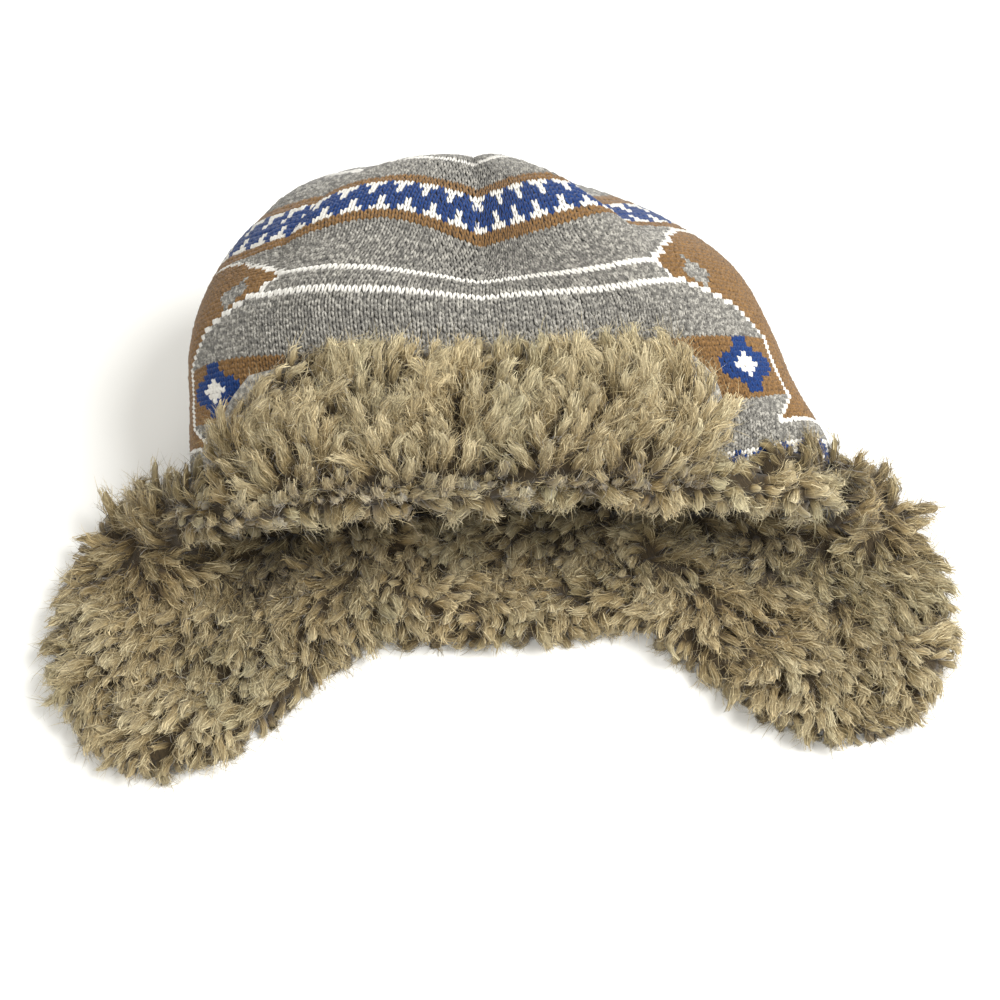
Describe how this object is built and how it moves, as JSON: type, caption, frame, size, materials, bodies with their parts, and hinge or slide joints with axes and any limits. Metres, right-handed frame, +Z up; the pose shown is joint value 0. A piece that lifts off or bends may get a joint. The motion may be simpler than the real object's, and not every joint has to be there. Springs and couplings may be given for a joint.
{
  "type": "knit trapper hat",
  "caption": "Jacquard-knit trapper hat with deep fleece lining, its visor turned up and its ear flaps open, lying on the back of its crown.",
  "frame": {"origin": "middle of the bounding box on the table, under the crown's rim", "axes": "+Z up from the table, through the forehead side of the hat; +Y from the neck flap to the tip of the crown; +X to the wearer's left, across the two ear flaps"},
  "size_m": [0.3668, 0.2354, 0.1179],
  "materials": {
    "crown_knit": "knitted wool",
    "flap_knit": "knitted wool",
    "fleece": "shearling pile"
  },
  "bodies": {
    "root": {"crown_knit": "crown_knit", "crown_lining": "fleece", "visor_knit": "flap_knit", "visor_fleece": "fleece", "rim_fleece": "fleece", "left_ear_flap_knit": "flap_knit", "left_ear_flap_fleece": "fleece", "right_ear_flap_knit": "flap_knit", "right_ear_flap_fleece": "fleece", "neck_flap_knit": "flap_knit", "neck_flap_fleece": "fleece"}
  },
  "joints": []
}
